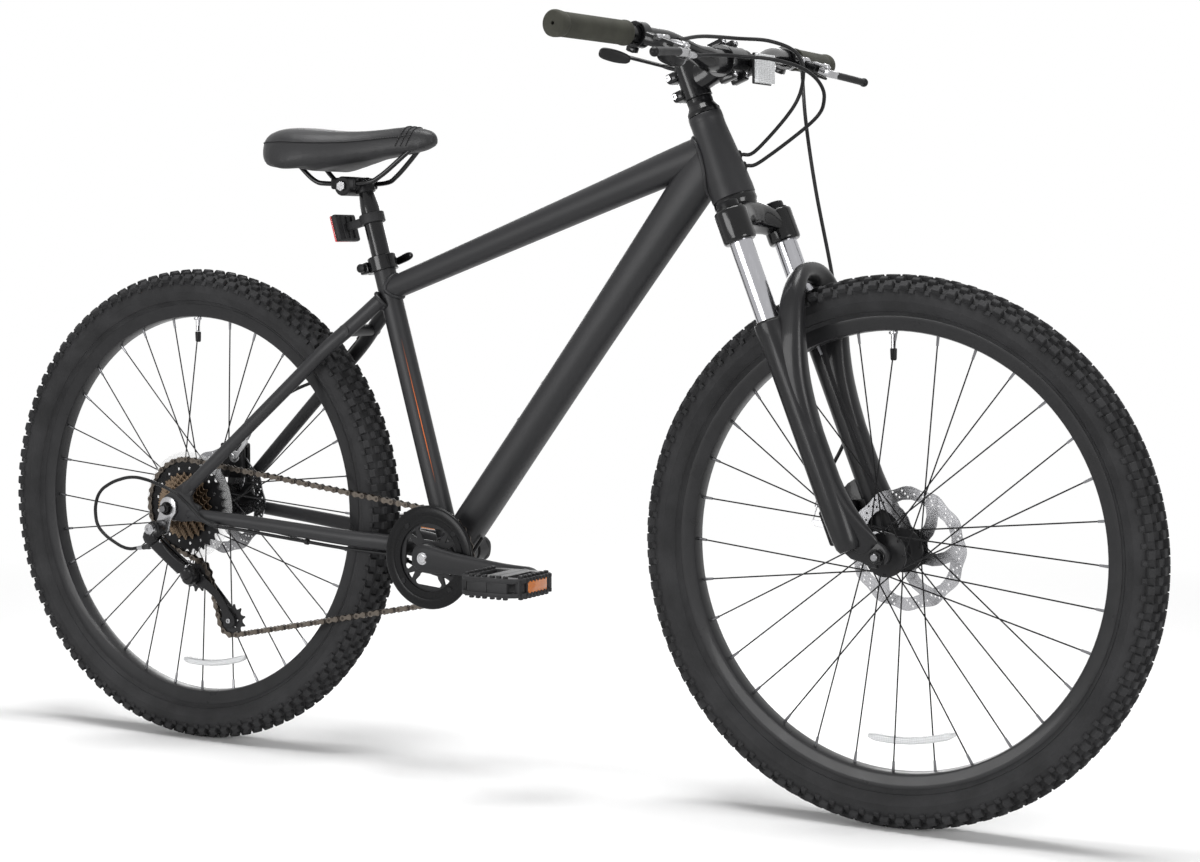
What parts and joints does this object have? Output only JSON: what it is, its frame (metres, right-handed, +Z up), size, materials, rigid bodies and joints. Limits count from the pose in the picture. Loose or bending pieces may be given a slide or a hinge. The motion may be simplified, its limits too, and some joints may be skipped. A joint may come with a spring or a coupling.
{
  "type": "mountain bike",
  "caption": "Hardtail mountain bike with a telescopic suspension fork, cable disc brakes, a single chainring, a multi-speed freewheel with rear derailleur, and platform pedals.",
  "frame": {"origin": "on the ground, midway between the two axles, in the bike's middle plane", "axes": "+X forward, +Y to the rider's left, +Z up; the drive side is -Y"},
  "size_m": [1.817, 0.763, 1.0099],
  "materials": {
    "frame_paint": "satin charcoal",
    "black_metal": "black, semi-gloss",
    "fork_upper": "chromed stanchions in a gloss black crown",
    "bare_metal": "plain steel",
    "bronze_steel": "brown-plated steel",
    "tyre": "matt black rubber",
    "rubber": "matt black",
    "black_plastic": "moulded black",
    "saddle_cover": "black synthetic cover over foam",
    "red_lens": "red reflector on a black bracket",
    "clear_lens": "clear reflector on a black bracket"
  },
  "bodies": {
    "frame": {"seat_tube": "frame_paint", "head_tube": "frame_paint", "top_tube": "frame_paint", "down_tube": "frame_paint", "chainstay_right": "frame_paint", "chainstay_left": "frame_paint", "seatstays": "frame_paint", "derailleur_hanger": "bare_metal", "derailleur_upper_knuckle": "black_metal", "rear_axle": "bare_metal", "rear_caliper": "black_metal", "rear_brake_cable_tail": "rubber", "shift_cable_tail": "rubber", "chain": "bronze_steel", "seat_clamp": "black_metal"},
    "seat": {"seatpost": "black_metal", "saddle_rails": "black_metal", "saddle": "saddle_cover", "rear_reflector": "red_lens"},
    "clamp_lever": {"seat_clamp_lever": "black_metal"},
    "steerer": {"fork_upper": "fork_upper", "headset_cover": "black_metal", "stem": "black_metal", "handlebar": "black_metal", "grip_right": "rubber", "grip_left": "rubber", "control_right": "black_plastic", "lever_mount_left": "black_plastic", "front_reflector": "clear_lens", "shift_cable": "rubber", "rear_brake_cable": "rubber"},
    "lowers": {"fork_lowers": "frame_paint", "front_axle": "bare_metal", "front_caliper": "black_metal", "front_brake_cable": "rubber"},
    "front_wheel": {"front_tyre": "tyre", "front_rim": "black_metal", "front_hub": "black_metal", "front_rotor": "bare_metal"},
    "rear_wheel": {"rear_tyre": "tyre", "rear_rim": "black_metal", "rear_hub": "black_metal", "rear_rotor": "bare_metal"},
    "freewheel": {"freewheel": "bronze_steel"},
    "crankset": {"crank_right": "black_metal", "chainring": "black_metal", "crank_left": "black_metal"},
    "pedal_r": {"pedal_right": "black_plastic"},
    "pedal_l": {"pedal_left": "black_plastic"},
    "outer_link": {"derailleur_outer_link": "black_metal"},
    "inner_link": {"derailleur_inner_link": "black_metal"},
    "lower_knuckle": {"derailleur_lower_knuckle": "black_metal"},
    "cage": {"derailleur_cage": "black_metal"},
    "guide_pulley": {"guide_pulley": "black_plastic"},
    "tension_pulley": {"tension_pulley": "black_plastic"},
    "lever_r": {"brake_lever_right": "black_metal"},
    "lever_l": {"brake_lever_left": "black_metal"},
    "shifter": {"shift_lever": "black_plastic"},
    "front_arm": {"front_caliper_arm": "bare_metal"},
    "rear_arm": {"rear_caliper_arm": "bare_metal"}
  },
  "joints": [
    {"name": "steering", "type": "hinge", "parent": "frame", "child": "steerer", "pos_m": [0.51486, 0, 0.33255], "axis": [-0.3714, 0, 0.9285], "range_deg": [-60, 60], "deforming": ["shift_cable", "rear_brake_cable"]},
    {"name": "fork_travel", "type": "slide", "parent": "steerer", "child": "lowers", "axis": [-0.3714, 0, 0.9285], "range_m": [0, 0.08], "stiffness_N_per_m": 9000, "springref_m": -0.02, "deforming": ["front_brake_cable"]},
    {"name": "front_wheel_spin", "type": "hinge", "parent": "lowers", "child": "front_wheel", "pos_m": [0.5585, 0, 0.35], "axis": [0, 1, 0], "continuous": true},
    {"name": "rear_wheel_spin", "type": "hinge", "parent": "frame", "child": "rear_wheel", "pos_m": [-0.5585, 0, 0.35], "axis": [0, 1, 0], "continuous": true},
    {"name": "crank_spin", "type": "hinge", "parent": "frame", "child": "crankset", "pos_m": [-0.11076, 0, 0.305], "axis": [0, 1, 0], "continuous": true, "deforming": ["chain"]},
    {"name": "freewheel_spin", "type": "hinge", "parent": "frame", "child": "freewheel", "pos_m": [-0.5585, 0, 0.35], "axis": [0, 1, 0], "continuous": true},
    {"name": "pedal_right_spin", "type": "hinge", "parent": "crankset", "child": "pedal_r", "pos_m": [0.0586, 0, 0.29018], "axis": [0, 1, 0], "continuous": true},
    {"name": "pedal_left_spin", "type": "hinge", "parent": "crankset", "child": "pedal_l", "pos_m": [-0.28011, 0, 0.31982], "axis": [0, 1, 0], "continuous": true},
    {"name": "seatpost_slide", "type": "slide", "parent": "frame", "child": "seat", "axis": [-0.2756, 0, 0.9613], "range_m": [-0.02, 0.1]},
    {"name": "seat_clamp_lever_turn", "type": "hinge", "parent": "frame", "child": "clamp_lever", "pos_m": [-0.25076, 0.0215, 0.70256], "axis": [-0.2756, 0, 0.9613], "range_deg": [0, 150]},
    {"name": "brake_lever_right_pull", "type": "hinge", "parent": "steerer", "child": "lever_r", "pos_m": [0.36195, -0.20442, 0.97152], "axis": [-0.3419, 0.0306, -0.9393], "range_deg": [0, 20], "stiffness_Nm_per_rad": 2, "springref_deg": -11.46},
    {"name": "brake_lever_left_pull", "type": "hinge", "parent": "steerer", "child": "lever_l", "pos_m": [0.36195, 0.20442, 0.97152], "axis": [0.3419, 0.0306, 0.9393], "range_deg": [0, 20], "stiffness_Nm_per_rad": 2, "springref_deg": -11.46},
    {"name": "shift_lever_push", "type": "hinge", "parent": "steerer", "child": "shifter", "pos_m": [0.3268, -0.17538, 0.95406], "axis": [0.3419, -0.0306, 0.9393], "range_deg": [0, 25], "stiffness_Nm_per_rad": 0.5, "springref_deg": -11.46},
    {"name": "front_caliper_arm_pull", "type": "hinge", "parent": "lowers", "child": "front_arm", "pos_m": [0.45089, 0, 0.36727], "axis": [0, 1, 0], "range_deg": [0, 20]},
    {"name": "rear_caliper_arm_pull", "type": "hinge", "parent": "frame", "child": "rear_arm", "pos_m": [-0.5285, 0, 0.419], "axis": [0, -1, 0], "range_deg": [0, 20], "deforming": ["rear_brake_cable_tail"]},
    {"name": "derailleur_shift", "type": "hinge", "parent": "frame", "child": "outer_link", "pos_m": [-0.5655, -0.096, 0.299], "axis": [-0.8614, 0, -0.508], "range_deg": [0, 32], "stiffness_Nm_per_rad": 2, "springref_deg": -17.19, "deforming": ["shift_cable_tail"]},
    {"name": "inner_link_swing", "type": "hinge", "parent": "frame", "child": "inner_link", "pos_m": [-0.56882, -0.08594, 0.30463], "axis": [-0.8614, 0, -0.508], "range_deg": [0, 32]},
    {"name": "lower_knuckle_turn", "type": "hinge", "parent": "outer_link", "child": "lower_knuckle", "pos_m": [-0.5425, -0.06657, 0.26], "axis": [-0.8614, 0, -0.508], "range_deg": [-32, 0]},
    {"name": "cage_swing", "type": "hinge", "parent": "lower_knuckle", "child": "cage", "pos_m": [-0.5395, 0, 0.247], "axis": [0, 1, 0], "range_deg": [-12, 45], "stiffness_Nm_per_rad": 1, "springref_deg": -2.29},
    {"name": "guide_pulley_spin", "type": "hinge", "parent": "cage", "child": "guide_pulley", "pos_m": [-0.5395, 0, 0.247], "axis": [0, 1, 0], "continuous": true},
    {"name": "tension_pulley_spin", "type": "hinge", "parent": "cage", "child": "tension_pulley", "pos_m": [-0.47488, 0, 0.1858], "axis": [0, 1, 0], "continuous": true}
  ],
  "couplings": [
    {"joint": "freewheel_spin", "follows": "crank_spin", "ratio": 0.94118},
    {"joint": "guide_pulley_spin", "follows": "crank_spin", "ratio": -2.9091},
    {"joint": "tension_pulley_spin", "follows": "crank_spin", "ratio": 2.9091},
    {"joint": "front_caliper_arm_pull", "follows": "brake_lever_left_pull", "ratio": 1},
    {"joint": "rear_caliper_arm_pull", "follows": "brake_lever_right_pull", "ratio": 1},
    {"joint": "inner_link_swing", "follows": "derailleur_shift", "ratio": 1},
    {"joint": "lower_knuckle_turn", "follows": "derailleur_shift", "ratio": -1}
  ]
}
